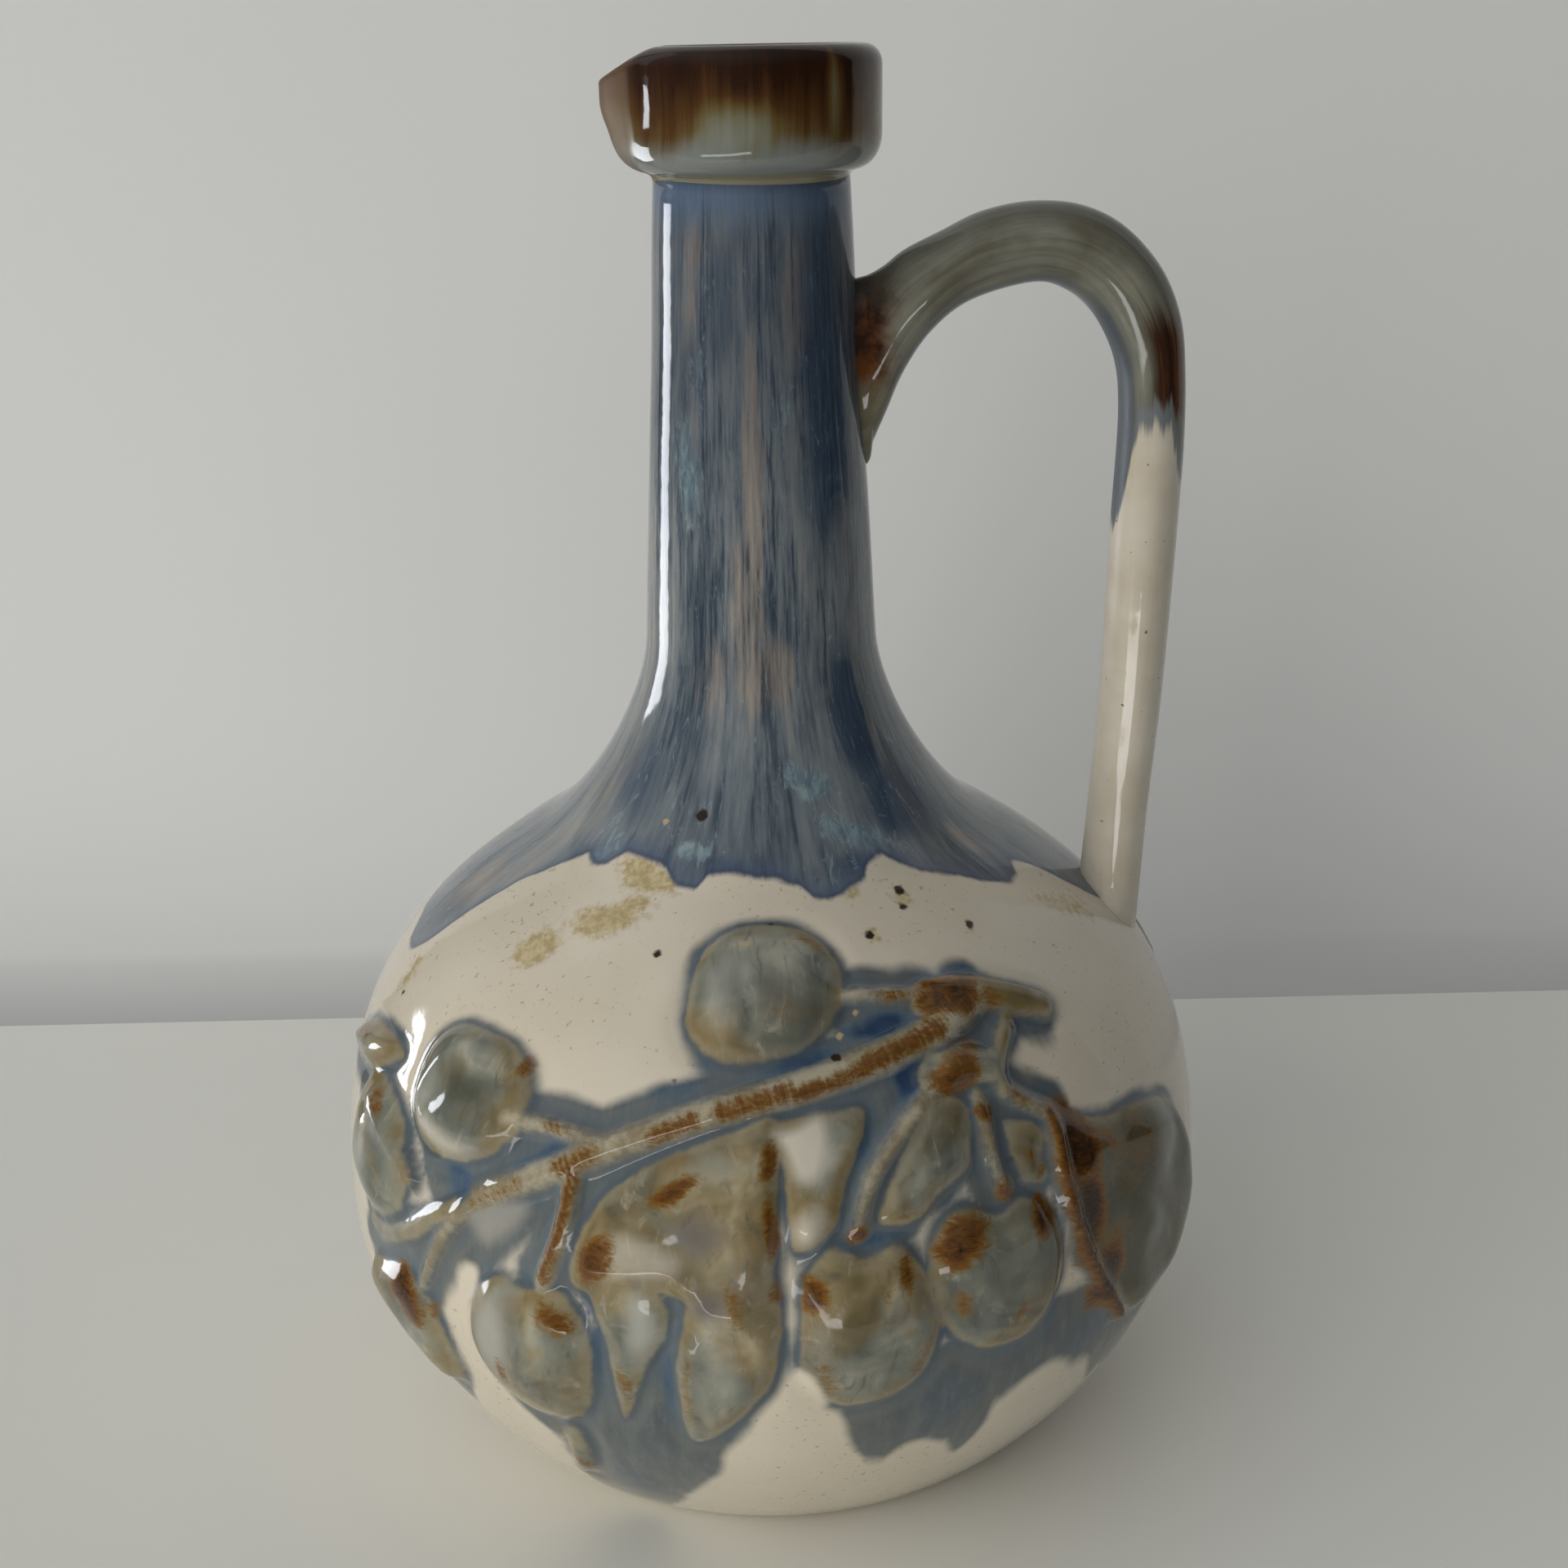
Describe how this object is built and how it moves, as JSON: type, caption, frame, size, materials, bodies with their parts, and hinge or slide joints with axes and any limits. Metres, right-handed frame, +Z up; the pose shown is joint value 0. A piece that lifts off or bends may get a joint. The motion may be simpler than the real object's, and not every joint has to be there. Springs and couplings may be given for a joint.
{
  "type": "earthenware carafe",
  "caption": "Round-bellied earthenware carafe with a long neck, a collared mouth with a pouring lip, a loop handle and a raised fruiting branch round the belly.",
  "frame": {"origin": "middle of the foot, on the surface that the carafe stands on", "axes": "+Z up along the neck, +X towards the handle, -X towards the pouring lip, -Y towards the pictured front"},
  "size_m": [0.16, 0.1666, 0.2479],
  "materials": {
    "cream_glaze": "cream glaze over pale earthenware, glossy",
    "blue_glaze": "running blue and grey glaze, glossy",
    "brown_glaze": "brown iron glaze, glossy",
    "handle_glaze": "cream and olive glaze, glossy",
    "fruit_glaze": "grey-green glaze, glossy",
    "wood_glaze": "tan glaze with brown breaks, glossy",
    "leaf_glaze": "blue-grey glaze, glossy"
  },
  "bodies": {
    "root": {"body": "cream_glaze", "neck": "blue_glaze", "mouth_collar": "brown_glaze", "handle": "handle_glaze", "front_branch": "wood_glaze", "front_knot": "wood_glaze", "front_stalk_root": "wood_glaze", "front_stalk_top": "wood_glaze", "front_stalk_left": "wood_glaze", "front_stalk_lower_left": "wood_glaze", "front_stalk_middle": "wood_glaze", "front_stalk_right": "wood_glaze", "front_twig_leaf": "wood_glaze", "front_fork_left": "wood_glaze", "front_tendril": "wood_glaze", "front_fruit_top": "fruit_glaze", "front_fruit_left": "fruit_glaze", "front_fruit_edge": "fruit_glaze", "front_fruit_lower_left": "fruit_glaze", "front_fruit_lower_middle": "fruit_glaze", "front_fruit_lower_right": "fruit_glaze", "front_bud": "fruit_glaze", "front_leaf_large": "leaf_glaze", "front_leaf_right": "leaf_glaze", "front_leaf_small": "leaf_glaze", "front_leaf_edge": "leaf_glaze", "front_leaf_lower_left": "leaf_glaze", "front_leaf_low": "leaf_glaze", "back_branch": "wood_glaze", "back_knot": "wood_glaze", "back_stalk_root": "wood_glaze", "back_stalk_top": "wood_glaze", "back_stalk_left": "wood_glaze", "back_stalk_lower_left": "wood_glaze", "back_stalk_middle": "wood_glaze", "back_stalk_right": "wood_glaze", "back_twig_leaf": "wood_glaze", "back_fork_left": "wood_glaze", "back_tendril": "wood_glaze", "back_fruit_top": "fruit_glaze", "back_fruit_left": "fruit_glaze", "back_fruit_edge": "fruit_glaze", "back_fruit_lower_left": "fruit_glaze", "back_fruit_lower_middle": "fruit_glaze", "back_fruit_lower_right": "fruit_glaze", "back_bud": "fruit_glaze", "back_leaf_large": "leaf_glaze", "back_leaf_right": "leaf_glaze", "back_leaf_small": "leaf_glaze", "back_leaf_edge": "leaf_glaze", "back_leaf_lower_left": "leaf_glaze", "back_leaf_low": "leaf_glaze"}
  },
  "joints": []
}
